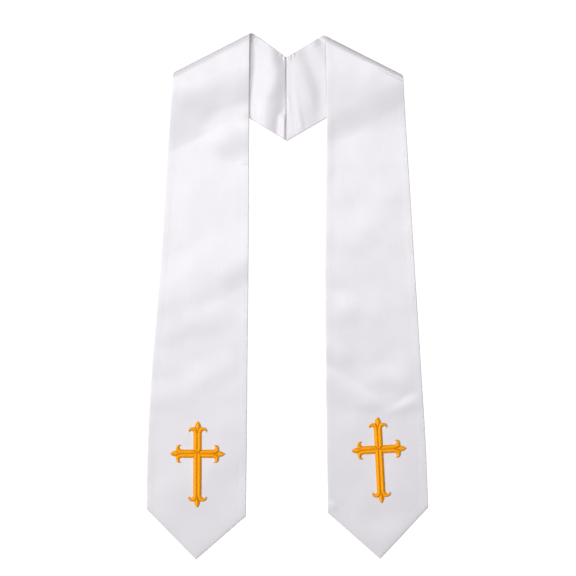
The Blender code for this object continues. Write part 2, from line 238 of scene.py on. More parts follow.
LEFT_BACK_FOLDS = (
    Fold(-36, 387, -39, 305, 12, 38, 96, 3.0),
    Fold(-20, 376, -29, 262, 6, 22, 40, 1.1),
    Fold(-4.2, 273, -5, 246, 0, 4, 13, 1.9),
    Fold(-34, 392, -27, 376, 0, 22, 30, 1.2),
    Fold(-56, 412, -54, 402, 0, 18, 8, 2.6),
)
RIGHT_BACK_FOLDS = (
    Fold(15, 360, 18, 262, 0, 50, 32, 2.3),
    Fold(8, 374, 34, 302, 0, 26, 34, 1.2),
    Fold(14, 292, 18, 262, 0, 24, 20, 0.8),
    Fold(46, 384, 60, 350, 0, 16, 24, 1.2),
    Fold(38, 408, 39, 394, 0, 14, 12, 1.5),
    Fold(11.5, 318, 20.5, 262, 0, 8, 5, 0.5),
    Fold(2, 306, 6.5, 252, 0, 6, 3, 0.6),
)

Gather = namedtuple("Gather", "from_seam length half_width height")
LEFT_GATHERS = (
    Gather(3.0, 11, 2.6, 1.6),
    Gather(8.6, 8, 3.2, 0.6),
)
RIGHT_GATHERS = (
    Gather(2.6, 7, 1.9, 0.7),
    Gather(6.2, 12, 2.4, 1.2),
    Gather(11.2, 9, 2.7, 1.1),
)
print(f"{len(LEFT_FRONT_FOLDS) + len(RIGHT_FRONT_FOLDS)} folds in front")
print(f"{len(LEFT_BACK_FOLDS) + len(RIGHT_BACK_FOLDS)} folds behind")
print(f"{len(LEFT_GATHERS) + len(RIGHT_GATHERS)} gathers at the neck")

# %% [markdown]
# ## Each band as it is laid out
#
# The two bands are cut alike and mirrored, but they fell a little differently. One record for each says
# how. Its shoulder folds along a line from the inner edge to the outer one, over a roll that is half an
# ellipse, with the rise and the width as its radii. Its front comes down off the shoulder between two such
# lines, the brow and the foot, and the steep share says how much of that is steepest near the foot. On
# the back panel the folds die out over the furrow beside the seam, where the edge is lifted and rounded
# off. Two hand-made meshes could differ as much, but with records one set of functions shapes both bands.

# %% Each band as it is laid out
Side = namedtuple(
    "Side",
    "name sign fold_inner fold_outer roll_rise roll_width brow foot steep_share furrow seam_lift seam_rim"
    " sections hem_inner hem_tip hem_outer front_folds back_folds gathers cross_at cross_turn",
)
LEFT = Side(
    name="left",
    sign=-1,
    fold_inner=np.array((-56.2, 407.0)),
    fold_outer=np.array((-174.9, 346.2)),
    roll_rise=5.5,
    roll_width=8.0,
    brow=(np.array((-60.8, 364.0)), np.array((-178.6, 320.0))),
    foot=(np.array((-60.8, 284.0)), np.array((-181.7, 221.0))),
    steep_share=0.5,
    furrow=2.6,
    seam_lift=0.1,
    seam_rim=2.4,
    sections=LEFT_SECTIONS,
    hem_inner=np.array((-64.1, -341.4)),
    hem_tip=np.array((-141.3, -408.4)),
    hem_outer=np.array((-217.8, -330.4)),
    front_folds=LEFT_FRONT_FOLDS,
    back_folds=LEFT_BACK_FOLDS,
    gathers=LEFT_GATHERS,
    cross_at=np.array((-139.0, -244.4)),
    cross_turn=math.radians(-0.3),
)
RIGHT = Side(
    name="right",
    sign=1,
    fold_inner=np.array((57.2, 403.4)),
    fold_outer=np.array((177.2, 342.6)),
    roll_rise=5.6,
    roll_width=8.5,
    brow=(np.array((61.6, 364.0)), np.array((177.9, 370.0))),
    foot=(np.array((61.6, 239.0)), np.array((179.4, 261.0))),
    steep_share=0.25,
    furrow=0.1,
    seam_lift=0.8,
    seam_rim=0.8,
    sections=RIGHT_SECTIONS,
    hem_inner=np.array((63.0, -336.0)),
    hem_tip=np.array((144.2, -407.4)),
    hem_outer=np.array((218.4, -327.8)),
    front_folds=RIGHT_FRONT_FOLDS,
    back_folds=RIGHT_BACK_FOLDS,
    gathers=RIGHT_GATHERS,
    cross_at=np.array((142.1, -237.8)),
    cross_turn=math.radians(3.0),
)
SIDES = (LEFT, RIGHT)
for side in SIDES:
    print(f"{side.name} shoulder: folded over {np.hypot(*(side.fold_outer - side.fold_inner)):.0f} mm")

# %% [markdown]
# ## How high the cloth lies
#
# The bands are worked out as heights over the table, for a whole grid of points at once with numpy. A
# front hangs from the shoulder's roll at the top, comes down between its brow and its foot, and lies on
# the back panel under it and then on the table. Each of these is a smooth step, and the folds are added
# to it. The cloth is kept level round the cross, because the backing of an embroidery stiffens it. A
# sculpted mesh or a cloth simulation could give such a lie as well, but steps and folds with names can be
# set one by one.

# %% Smooth steps, humps and distances
def smooth(value):
    """0 below 0, 1 above 1, and an S curve between them."""
    t = np.clip(value, 0.0, 1.0)
    return t * t * (3 - 2 * t)


def hump(distance):
    """1 on a crest, falling smoothly to 0 at a distance of 1."""
    return np.cos(np.pi / 2 * np.clip(distance, 0.0, 1.0)) ** 2


def lerp(start, end, share):
    """Points on the way from start to end, one for each share."""
    return start + (end - start) * np.asarray(share)[..., None]


def distance_past(start, end, x, y):
    """How far points are from a line, positive on the line's left."""
    run = (end - start) / np.hypot(*(end - start))
    return run[0] * (y - start[1]) - run[1] * (x - start[0])


print(f"a quarter of the way: smooth {smooth(0.25):.2f}, hump {hump(0.25):.2f}")

# %% Height of the folds
Arms = namedtuple("Arms", "right up left down")
ARMS = Arms(41.9, 50.2, 42.5, 82.9)  # of a cross, from its crossing to their tips
CLEAR_OF_FOLDS = 20.0  # how far round a cross the cloth is still held flat


def fold_lift(folds, x, y):
    """The height that soft folds give the cloth at each point."""
    lift = np.zeros(np.shape(x))
    for fold in folds:
        run_x, run_y = fold.x1 - fold.x0, fold.y1 - fold.y0
        length = math.hypot(run_x, run_y)
        along = ((x - fold.x0) * run_x + (y - fold.y0) * run_y) / length
        aside = ((y - fold.y0) * run_x - (x - fold.x0) * run_y) / length
        share = np.clip(along / length, 0, 1)
        aside = aside - fold.bow * 4 * share * (1 - share)
        beyond = np.maximum(0, np.maximum(-along, along - length))
        width = np.where(aside > 0, fold.left, fold.right)
        distance = np.hypot(aside / width, beyond / max(fold.left, fold.right))
        lift += fold.height * hump(distance)
    return lift


def clear_of_cross(side, x, y):
    """0 where the embroidery backs the cloth, 1 where the cloth is free of it."""
    past_side = np.abs(x - side.cross_at[0]) - ARMS.right
    past_end = np.abs(y - side.cross_at[1] - (ARMS.up - ARMS.down) / 2) - (ARMS.up + ARMS.down) / 2
    return smooth(np.maximum(past_side, past_end) / CLEAR_OF_FOLDS)


for fold in (LEFT_FRONT_FOLDS[0], RIGHT_BACK_FOLDS[0]):
    print(f"lift on a crest of {fold.height} mm: {fold_lift([fold], fold.x0, fold.y0):.1f} mm")

# %% Height of a front
LEDGE = 46.0  # length over which a front comes down off the back panel's edge
STEEP_FOOT = 1.5  # above 1, a front comes down most steeply near the foot of its descent
LEAST_DESCENT = 1.0  # between brow and foot, so that nothing is divided by zero


def come_down(side, x, y):
    """How far a front has come down off the shoulder: 0 above its brow, 1 below its foot."""
    (brow_inner, brow_outer), (foot_inner, foot_outer) = side.brow, side.foot
    past_brow = side.sign * distance_past(brow_outer, brow_inner, x, y)
    past_foot = side.sign * distance_past(foot_outer, foot_inner, x, y)
    share = np.clip(past_brow / np.maximum(past_brow - past_foot, LEAST_DESCENT), 0, 1)
    return smooth(share) * (1 - side.steep_share) + share**STEEP_FOOT * side.steep_share


def front_lift(side, x, y):
    """Height of a front's lower face: the back panel under it, the shoulder's roll, and its folds."""
    layer = WALL + LAYER_GAP
    past_back = side.sign * distance_past(side.fold_outer, SEAM_BOTTOM, x, y)
    lift = layer * (1 - smooth(past_back / LEDGE))
    lift += (2 * side.roll_rise - layer) * (1 - come_down(side, x, y))
    return lift + fold_lift(side.front_folds, x, y) * clear_of_cross(side, x, y)


for side in SIDES:
    print(f"{side.name} front under its cross: {front_lift(side, *side.cross_at):.2f} mm up")

# %% Height of a back panel
UNDER_FRONT = 0.9  # share of the folds that goes on under the front, where the front is raised
FREE_END = 1.0  # how far short of the front's corner the free folds have died out,
FREE_FADE = 20.0  # and over what width
HIDDEN_END = 50.0  # the same for the folds that go on, short of the shoulder's outer corner
HIDDEN_FADE = 60.0
SEAM_LIFT_WIDTH = 9.0  # how far from the centre back the raised seam reaches


def gather_lift(side, x, y):
    """The height of the gathers where the neck is caught at the seam."""
    from_seam = np.abs(x - SEAM_TOP[0])
    neck_slope = (side.fold_inner[1] - SEAM_TOP[1]) / abs(side.fold_inner[0] - SEAM_TOP[0])
    below_neck = SEAM_TOP[1] + from_seam * neck_slope - y
    lift = np.zeros(np.shape(x))
    for gather in side.gathers:
        fade = 1 - smooth(below_neck / gather.length)
        lift += gather.height * hump(np.abs(from_seam - gather.from_seam) / gather.half_width) * fade
    return lift


def back_lift(side, x, y):
    """Height of a back panel's lower face: free between the seam and the front that covers it."""
    free = smooth((abs(side.fold_inner[0]) - FREE_END - np.abs(x)) / FREE_FADE)
    to_edge = smooth((abs(side.fold_outer[0]) - HIDDEN_END - np.abs(x)) / HIDDEN_FADE)
    under = UNDER_FRONT * (1 - come_down(side, x, y)) * to_edge
    from_seam = np.abs(x - SEAM_TOP[0])
    lift = fold_lift(side.back_folds, x, y) * smooth(from_seam / side.furrow)
    lift += side.seam_lift * hump(from_seam / SEAM_LIFT_WIDTH)
    return lift * (free + (1 - free) * under) + gather_lift(side, x, y)


for side in SIDES:
    print(f"{side.name} back panel at the top of the seam: {back_lift(side, *SEAM_TOP):.2f} mm up")

# %% [markdown]
# ## The middle of the cloth
#
# A band is a grid that is first laid flat and then lifted. Its rows start at the centre back seam, cross
# the back panel, go round the shoulder's roll as half an ellipse and run down the front, where they bend
# into the point of the hem. A plane with a Simple Deform modifier would bend square across, and this fold
# runs on a slant. So each edge is a curve through the table above, and stays smooth at any number of rows.

# %% Edges of a front
def edge_at(sections, edge, y):
    """x of a front's edge at each height, on a smooth curve through its sections."""
    heights = np.array([row.y for row in sections], float)
    places = np.array([getattr(row, edge) for row in sections], float)
    y = np.clip(y, heights[-1], heights[0])
    slopes = np.empty(len(heights))
    slopes[1:-1] = (places[2:] - places[:-2]) / (heights[2:] - heights[:-2])
    slopes[0] = (places[1] - places[0]) / (heights[1] - heights[0])
    slopes[-1] = (places[-1] - places[-2]) / (heights[-1] - heights[-2])
    at = np.clip(np.searchsorted(-heights, -y, side="right") - 1, 0, len(heights) - 2)
    step = heights[at + 1] - heights[at]
    t = (y - heights[at]) / step
    return (
        (2 * t**3 - 3 * t**2 + 1) * places[at]
        + (t**3 - 2 * t**2 + t) * step * slopes[at]
        + (3 * t**2 - 2 * t**3) * places[at + 1]
        + (t**3 - t**2) * step * slopes[at + 1]
    )


for side in SIDES:
    inner, outer = (edge_at(side.sections, edge, side.cross_at[1]) for edge in ("inner", "outer"))
    print(f"{side.name} front at its cross: {abs(outer - inner):.0f} mm wide")

# %% Rows of the shoulder's roll, the back panel and the front
def hem_points(side, across):
    """Points of the hem, from its inner corner (0) by its tip (0.5) to its outer one (1)."""
    first, second = np.clip(across * 2, 0, 1), np.clip(across * 2 - 1, 0, 1)
    to_tip = lerp(side.hem_inner, side.hem_tip, first)
    return to_tip + (side.hem_outer - side.hem_tip) * second[:, None]


def roll_rows(side, across, turns):
    """The roll, half an ellipse: a row for each turn, from 0 on the back panel to pi on the front."""
    turn = np.asarray(turns, float)[:, None]
    along = (side.fold_outer - side.fold_inner) / np.hypot(*(side.fold_outer - side.fold_inner))
    out = np.array((-along[1], along[0])) * side.sign
    travel = (side.fold_outer - SEAM_BOTTOM) / np.hypot(*(side.fold_outer - SEAM_BOTTOM))
    mean_radius = (side.roll_rise + side.roll_width) / 2
    drift = mean_radius * travel.dot(along) / travel.dot(out) * (turn - math.pi / 2)
    fold = lerp(side.fold_inner, side.fold_outer, across)[None]
    push = side.roll_width * (np.sin(turn) - 1) - HALF_WALL
    flat = fold + (along * drift)[:, None] + (out * push)[:, None]
    height = np.broadcast_to(HALF_WALL + side.roll_rise * (1 - np.cos(turn)), flat.shape[:2])
    return np.dstack((flat, height))


def back_rows(side, across, downs):
    """The back panel, a row for each share of the way from the seam to the roll."""
    down = np.asarray(downs, float)[:, None, None]
    seam = lerp(SEAM_TOP, SEAM_BOTTOM, across) + (side.sign * PIECE_GAP / 2, 0)
    flat = seam[None] * (1 - down) + roll_rows(side, across, [0])[:, :, :2] * down
    return np.dstack((flat, HALF_WALL + back_lift(side, flat[..., 0], flat[..., 1])))


def front_rows(side, across, downs):
    """The front, a row for each share of the way from the roll to the hem."""
    down = np.asarray(downs, float)[:, None]
    ends = []
    for flat in (roll_rows(side, across, [math.pi])[0, :, :2], hem_points(side, across)):
        inner, outer = (edge_at(side.sections, edge, flat[:, 1]) for edge in ("inner", "outer"))
        ends.append((flat[:, 1], (flat[:, 0] - inner) / (outer - inner)))
    (top_y, top_share), (hem_y, hem_share) = ends
    y, share = top_y * (1 - down) + hem_y * down, top_share * (1 - down) + hem_share * down
    inner, outer = edge_at(side.sections, "inner", y), edge_at(side.sections, "outer", y)
    x = inner + (outer - inner) * share
    return np.dstack((x, y, HALF_WALL + front_lift(side, x, y)))


for side in SIDES:
    top = roll_rows(side, np.array((0.0, 1.0)), [math.pi])[0, 0, 2] + HALF_WALL
    print(f"{side.name} roll: {top:.1f} mm high")

# %% [markdown]
# ## The turned edge
#
# A band is sewn inside out, turned and pressed. Its edge is a small rounded roll, and just inside it the
# seam allowance makes the band a little thicker, which shows as a faint ridge along the edge. The hem is
# pressed down flatter than the long edges. A Solidify modifier would give a square rim of one thickness.
# So the two faces are made from the middle of the cloth, with a thickness that depends on how far each
# point is from the nearest edge.

# %% Thickness of a band
RIM_LONG = 1.3  # how far in from a long edge the upper face is rounded,
RIM_HEM = 4.0  # and from the hem
RIM_LOWER = 1.0  # the same for the lower face, from every edge
HEM_SINK = 0.68  # how far the hem's edge is pressed down below the middle of the cloth,
HEM_SINK_WIDTH = 15.0  # and how far in that begins
ALLOWANCE = 0.12  # how much the seam allowance raises the upper face
ALLOWANCE_WIDTH = 8.0  # how wide it is,
ALLOWANCE_FALL = 2.5  # and over what width it ends


def rounded(distance, radius):
    """A quarter of a circle: 0 at an edge, 1 from the radius inwards."""
    short = 1 - np.clip(distance / radius, 0, 1)
    return np.sqrt(1 - short**2)


def face_heights(side, distances):
    """Upper and lower thickness, from the distances to the inner edge, outer edge, seam and hem."""
    nearest_long = np.minimum(distances[0], distances[1])
    upper = HALF_WALL + ALLOWANCE * (1 - smooth((nearest_long - ALLOWANCE_WIDTH) / ALLOWANCE_FALL))
    lower = HALF_WALL
    for distance, rim in zip(distances, (RIM_LONG, RIM_LONG, side.seam_rim, RIM_HEM)):
        upper = upper * rounded(distance, rim)
        lower = lower * rounded(distance, RIM_LOWER)
    sink = HEM_SINK * (1 - rounded(distances[3], HEM_SINK_WIDTH))
    return upper - sink, np.maximum(lower, sink)


for inwards in (0.0, 5.0, 50.0):
    upper, lower = face_heights(LEFT, (inwards, 60.0, np.inf, np.inf))
    print(f"{inwards:.0f} mm in from a long edge: {upper + lower:.2f} mm thick")

# %% [markdown]
# ## The grid of a band
#
# A grid has to be fine where the cloth bends sharply and may be coarse where it lies flat. Subdividing
# everything would cost many faces. So the columns and rows are close together at the edges, at the hem
# and beside the seam, where the gathers are, and even between them.

# %% Where the columns and rows of the grid lie
EDGE_STEPS = (0, 0.12, 0.35, 0.7, 1.2, 2, 3.2, 4.8, 6.4, 8, 9.4, 11)  # in from an edge
EDGE_STEPS_AT_SEAM = EDGE_STEPS[:6]
GATHER_STEP = 1.3  # between the rows that follow them there,
GATHER_REACH = 32.0  # and how far these rows go
GRID_STEP = 2.4
HEM_SLANT = 0.76  # how far from the hem a millimetre up the front leads
NOMINAL_WIDTH = 126.0  # a middling width of a band, for the spacing of its columns and for its UV map
ROLL_STEPS = 18


def spaced(length, start_steps, end_steps, step):
    """Places along a length: close at both ends, as the steps say, and even between them."""
    start, end = np.array(start_steps, float), length - np.array(end_steps, float)[::-1]
    count = round((end[0] - start[-1]) / step)
    return np.concatenate((start[:-1], np.linspace(start[-1], end[0], count + 1), end[1:])) / length


def band_grid(side):
    """Shares of the columns, points of the band's middle, turns of its rows, and its first front row."""
    half = spaced(NOMINAL_WIDTH / 2, EDGE_STEPS, (0,), GRID_STEP) / 2
    across = np.concatenate((half, 1 - half[-2::-1]))
    back_length = np.hypot(*((side.fold_inner + side.fold_outer - SEAM_TOP - SEAM_BOTTOM) / 2))
    fine = np.arange(0, GATHER_REACH, GATHER_STEP)
    fine = fine[fine > EDGE_STEPS_AT_SEAM[-1]]
    back = spaced(back_length, (*EDGE_STEPS_AT_SEAM, *fine), (0,), GRID_STEP)[:-1]
    turns = np.linspace(0, math.pi, ROLL_STEPS + 1)[:-1]
    front_length = (side.fold_inner[1] + side.fold_outer[1]) / 2 - side.hem_tip[1]
    front = spaced(front_length, (0,), np.array(EDGE_STEPS) / HEM_SLANT, GRID_STEP)
    middle = np.concatenate(
        (back_rows(side, across, back), roll_rows(side, across, turns), front_rows(side, across, front))
    )
    turned = np.concatenate((np.zeros(len(back)), turns, np.full(len(front), math.pi)))
    return across, middle, turned, len(middle) - len(front)


for side in SIDES:
    rows, columns = band_grid(side)[1].shape[:2]
    print(f"{side.name} band: {rows} rows of {columns} points")

# %% [markdown]
# ## A band as a mesh
#
# The outer face and the lining face are two grids that share their border, so the band is one closed
# skin, as cloth with turned edges is. Lifting each point along the cloth's outward direction keeps the
# wall even round the shoulder, where moving it straight up would thin it to nothing. Each face gets a UV
# map laid out along the grain in metres. The weave of the satin is drawn by it, so the threads follow the
# cloth round the shoulder.

# %% Distance to the edges of a band
def edge_distances(side, across, middle, first_front):
    """How far the points are from the inner edge, the outer edge, the seam and the hem."""
    travel = np.gradient(middle[:, len(across) // 2], axis=0)
    travel /= np.linalg.norm(travel, axis=1)[:, None]
    width = np.linalg.norm(np.cross(middle[:, -1] - middle[:, 0], travel), axis=1)
    from_inner = across[None] * width[:, None]
    from_outer = (1 - across)[None] * width[:, None]
    from_seam = np.full(from_inner.shape, np.inf)
    from_seam[:first_front] = np.abs(middle[:first_front, :, 0] - SEAM_TOP[0]) - PIECE_GAP / 2
    from_seam[:first_front] = np.maximum(0, from_seam[:first_front])
    from_seam[0] = 0
    from_hem = np.full(from_inner.shape, np.inf)
    x, y = middle[first_front:, :, 0], middle[first_front:, :, 1]
    to_inner = side.sign * distance_past(side.hem_inner, side.hem_tip, x, y)
    to_outer = side.sign * distance_past(side.hem_tip, side.hem_outer, x, y)
    from_hem[first_front:] = np.maximum(0, np.where(across[None] <= 0.5, to_inner, to_outer))
    from_hem[-1] = 0
    return from_inner, from_outer, from_seam, from_hem


# %% The two faces of a band
def band_faces(side):
    """The grid's outer and inner face as points, and its UV coordinates in metres."""
    across, middle, turned, first_front = band_grid(side)
    distances = edge_distances(side, across, middle, first_front)
    upper, lower = face_heights(side, distances)
    along = (side.fold_outer - side.fold_inner) / np.hypot(*(side.fold_outer - side.fold_inner))
    out = np.array((-along[1], along[0])) * side.sign
    outward = np.stack((out[0] * np.sin(turned), out[1] * np.sin(turned), -np.cos(turned)), axis=1)
    front_share = smooth(turned / math.pi)[:, None]
    outer = lower * (1 - front_share) + upper * front_share
    inner = upper * (1 - front_share) + lower * front_share
    steps = np.linalg.norm(np.diff(middle, axis=0), axis=2)
    grain = np.concatenate((np.zeros((1, len(across))), np.cumsum(steps, axis=0)))
    grain += (side.fold_inner[1] - middle[first_front, :, 1]) - grain[first_front]
    uv = np.dstack(np.broadcast_arrays((across[None] - 0.5) * NOMINAL_WIDTH, grain)) * MM
    return middle + outward[:, None] * outer[..., None], middle - outward[:, None] * inner[..., None], uv


print(f"the left band's UV map is {np.ptp(band_faces(LEFT)[2][..., 1]):.2f} m long")

# %% Make the two bands
def make_band(side):
    """One closed skin of two faces that share their border."""
    outer, inner, uv = band_faces(side)
    rows, columns = outer.shape[:2]
    outer_ids = np.arange(rows * columns).reshape(rows, columns)
    inner_ids = outer_ids.copy()
    inner_ids[1:-1, 1:-1] = rows * columns + np.arange((rows - 2) * (columns - 2)).reshape(rows - 2, -1)
    points = np.concatenate((outer.reshape(-1, 3), inner[1:-1, 1:-1].reshape(-1, 3))) * MM

    faces = []
    for ids, flip in ((outer_ids, side.sign < 0), (inner_ids, side.sign > 0)):
        quads = np.stack((ids[:-1, :-1], ids[1:, :-1], ids[1:, 1:], ids[:-1, 1:]), axis=-1).reshape(-1, 4)
        faces.append(quads[:, ::-1] if flip else quads)
    faces = np.concatenate(faces)
    mesh = bpy.data.meshes.new(f"{side.name}_band_satin")
    mesh.from_pydata(points.tolist(), [], faces.tolist())

    places = np.empty((len(points), 2))
    places[: rows * columns] = uv.reshape(-1, 2)
    places[rows * columns :] = uv[1:-1, 1:-1].reshape(-1, 2)
    layer = mesh.uv_layers.new(name="grain")
    layer.uv.foreach_set("vector", places[faces.ravel()].astype(np.float32).ravel())
    half_count = len(faces) // 2
    mesh.polygons.foreach_set("material_index", [0] * half_count + [1] * (len(faces) - half_count))
    mesh.shade_smooth()
    band = bpy.data.objects.new(mesh.name, mesh)
    bpy.context.collection.objects.link(band)
    return band


bands = {side.name: make_band(side) for side in SIDES}
for name, band in bands.items():
    lowest = min(vertex.co.z for vertex in band.data.vertices)
    print(f"{name} band: {len(band.data.polygons)} faces, lowest point {lowest / MM:.2f} mm")

# %% [markdown]
# ## The embroidered crosses
#
# Each cross is satin stitch: threads laid side by side across a narrow column, over a padding that makes
# them swell. An arm is two such columns, which share their needle holes along its middle, so a groove
# runs down it. The columns part at the arm's end into two curls, and a third column fills the petal
# between the curls. A displaced plate would be quicker, but real threads catch the light one by one. So
# the rails of each column are drawn as curves, and threads are spanned between them by arrays.

# %% Curves of an arm's end
ARM_END = 19.5  # from the tip back to the arm's straight sides
Curve = namedtuple("Curve", "start pull end points")  # each place is (back from the tip, across the arm)
PETAL_SIDE = Curve((0, 0), (2.8, 3.4), (6.6, 4.4), 12)
PETAL_WAIST = Curve((6.6, 4.4), (8.0, 4.6), (9.0, 4.1), 6)
PETAL_FOOT = Curve((9.0, 4.1), (11.0, 1.2), (ARM_END, 0), 14)
CURL_FOOT = Curve((ARM_END, 0), (11.0, 1.2), (9.0, 4.1), 14)
CURL_BACK = Curve((9.0, 4.1), (8.6, 15.8), (16.5, 13.4), 14)
CURL_INSIDE = Curve((16.4, 12.5), (14.5, 12.3), (14.7, 9.6), 12)
CURL_THROAT = Curve((14.7, 9.6), (14.8, 6.8), (19.5, 6.1), 12)


def bend(curve):
    """Points on a curve from its start to its end, pulled towards its pull point."""
    t = np.linspace(0, 1, curve.points)[:, None]
    start, pull, end = (np.array(place) for place in curve[:3])
    return start * (1 - t) ** 2 + pull * 2 * t * (1 - t) + end * t * t


def join(*curves):
    """Points of curves that follow each other."""
    first, *others = (bend(curve) for curve in curves)
    return np.concatenate((first, *(points[1:] for points in others)))


print(f"an arm's end is {2 * join(CURL_FOOT, CURL_BACK)[:, 1].max():.1f} mm wide")

# %% Rails of the curls and petals
THREAD_PITCH = 0.42  # from thread to thread
CURL_LENGTH = 24.0  # that a curl's threads are counted over, a little less than its longer rail
PETAL_LENGTH = 21.0  # and that a petal's are counted over, a little less than its side


def resample(rail, count):
    """The rail again, at even distances along it."""
    reach = np.concatenate(([0], np.cumsum(np.hypot(*np.diff(rail, axis=0).T))))
    even = np.linspace(0, reach[-1], count)
    return np.stack([np.interp(even, reach, rail[:, i]) for i in (0, 1)], axis=1)


def curl_rails():
    """The two rails of a curl, from the arm's straight side to the curl's tip."""
    outer = join(CURL_INSIDE, CURL_THROAT)[::-1]
    inner = join(CURL_FOOT, CURL_BACK)
    count = round(CURL_LENGTH / THREAD_PITCH)
    return resample(inner, count), resample(outer, count)


def petal_rails():
    """The two rails of a petal, from its tip back to its foot between the curls."""
    edge = join(PETAL_SIDE, PETAL_WAIST, PETAL_FOOT)
    edge = resample(edge, round(PETAL_LENGTH / THREAD_PITCH))[1:]
    return edge * (1, -1), edge


print(f"{len(curl_rails()[0])} threads in a curl, {len(petal_rails()[0])} in a petal")

# %% Columns of a whole cross
ARM_HALF_WIDTH = 6.5
MITRE_START = 0.4  # where an arm's first thread lies, out from the crossing
SHAFT_START = -0.6  # the lower arm is sewn last, and its shaft starts over the crossing
SHAFT_TOP = 5.5  # length of the shaft's rounded top,
SHAFT_TOP_CUT = 0.3  # and how much of that the first thread cuts off
SHAFT_LIFT = 0.35  # how far the shaft's padding stands over the other columns'
PETAL_LIFT = 0.05
LEAST_STITCH = 0.2

Column = namedtuple("Column", "start end lift")


def straight_rails(length, lower):
    """The two rails of an arm's straight column: mitred at the crossing, or with a rounded top."""
    first = SHAFT_START if lower else MITRE_START
    count = round((length - ARM_END - first) / THREAD_PITCH)
    x = np.linspace(first, length - ARM_END, count)
    if lower:
        width = ARM_HALF_WIDTH * rounded(x - first + SHAFT_TOP_CUT, SHAFT_TOP)
    else:
        width = np.minimum(x, ARM_HALF_WIDTH)
    width = np.maximum(width, LEAST_STITCH)
    back = length - x
    return np.stack((back, np.zeros(count)), axis=1), np.stack((back, width), axis=1)


def cross_columns():
    """Every column of the cross about its crossing, with the rails in millimetres."""
    columns = []
    for turn, length in enumerate(ARMS):
        lower = length == ARMS.down
        angle = turn * math.pi / 2
        arm_x = np.array((math.cos(angle), math.sin(angle)))
        arm_y = np.array((-math.sin(angle), math.cos(angle)))
        lift = SHAFT_LIFT if lower else 0.0
        halves = [(*straight_rails(length, lower), lift), (*curl_rails(), 0.0)]
        pieces = [(start * (1, sign), end * (1, sign), up) for start, end, up in halves for sign in (1, -1)]
        pieces.append((*petal_rails(), PETAL_LIFT))
        for start, end, up in pieces:
            placed = [(length - rail[:, :1]) * arm_x + rail[:, 1:] * arm_y for rail in (start, end)]
            columns.append(Column(*placed, up))
    return columns


print(f"{len(cross_columns())} columns in a cross")

# %% Flattened threads
THREAD_SEGMENTS = 8
END_TAPER = 1.6  # how many rings of a thread's end are rounded off,
END_RING = 0.6  # and where in that its last ring lies


def thread_tubes(middle, sideways, half_width, half_height):
    """Corners of flattened tubes along rows of points: the array is thread, ring, corner, xyz."""
    ring = np.arange(middle.shape[1])
    taper = rounded(np.minimum(ring, ring[::-1]) + END_RING, END_TAPER)[None, :, None]
    across = sideways * half_width * taper
    up = np.zeros_like(middle)
    up[..., 2] = half_height
    up = up * taper
    return np.stack((middle - across, middle + up, middle + across, middle - up), axis=2)


print(f"{THREAD_SEGMENTS + 1} rings in a thread")

# %% [markdown]
# ## Threads on the cloth
#
# A machine lays every thread of a column over the same padding, and still no two lie alike. A Geometry
# Nodes tree could span the threads too. Here arrays do it, because the height of the cloth under each
# point comes straight from the functions above, and a seeded generator gives each thread a slightly
# different place and swell, the same at each run.

# %% Lay the threads of one cross on its front
THREAD_SEED = 11
THREAD_HALF_WIDTH = 0.3
THREAD_HALF_HEIGHT = 0.07
SWELL = 2.0  # how far the padding lifts the middle of a thread,
FULL_SWELL_WIDTH = 5.0  # in a column that is at least this wide
DOME_POWER = 0.9  # below 1, the padding is a little squarer than an arch
GROOVE_HEIGHT = 1.35  # of a thread's foot at its first rail,
OUTLINE_HEIGHT = 0.12  # and at its other one
PLACE_SPREAD = 0.03
SWELL_SPREAD = 0.035
LEAST_LENGTH = 1e-6  # so that a thread with no length has a direction


def cloth_top(side, x, y):
    """Height of a front's upper face, well inside its edges."""
    return front_lift(side, x, y) + WALL


def cross_threads(side):
    """Points of every thread of one cross, in millimetres."""
    rng = np.random.default_rng(THREAD_SEED)
    turned = np.array(((math.cos(side.cross_turn), math.sin(side.cross_turn)),
                       (-math.sin(side.cross_turn), math.cos(side.cross_turn))))
    share = np.linspace(0, 1, THREAD_SEGMENTS + 1)
    tubes = []
    for column in cross_columns():
        start = column.start @ turned + side.cross_at
        end = column.end @ turned + side.cross_at
        flat = start[:, None] * (1 - share)[:, None] + end[:, None] * share[:, None]
        flat += rng.normal(0, PLACE_SPREAD, (len(flat), 1, 2))
        width = np.hypot(*(end - start).T)
        swell = SWELL * rounded(width, FULL_SWELL_WIDTH) * (1 + rng.normal(0, SWELL_SPREAD, len(width)))
        dome = np.sin(math.pi * share) ** DOME_POWER
        foot = GROOVE_HEIGHT * (1 - share) + OUTLINE_HEIGHT * share
        height = cloth_top(side, flat[..., 0], flat[..., 1]) + foot + dome * (swell[:, None] + column.lift)
        middle = np.dstack((flat, height))
        run = (end - start) / np.maximum(width, LEAST_LENGTH)[:, None]
        sideways = np.stack((-run[:, 1], run[:, 0], np.zeros(len(run))), axis=1)[:, None]
        tubes.append(thread_tubes(middle, sideways, THREAD_HALF_WIDTH, THREAD_HALF_HEIGHT))
    return np.concatenate(tubes)


cross_tubes = {side.name: cross_threads(side) for side in SIDES}
for name, corners in cross_tubes.items():
    print(f"{name} cross: {len(corners)} threads, up to {corners[..., 2].max():.1f} mm high")

# %% Make threads into one mesh
SHARP_ANGLE = math.radians(60)  # the edges of a flat thread are sharper, and aren't shaded smooth
TWIST_SHIFT = 7.3  # from thread to thread along the UV map, so that neighbours start differently
ROUND_THREAD = (0, 0.4, 0.8, 0.4)  # places of the four corners round a thread, on the UV map


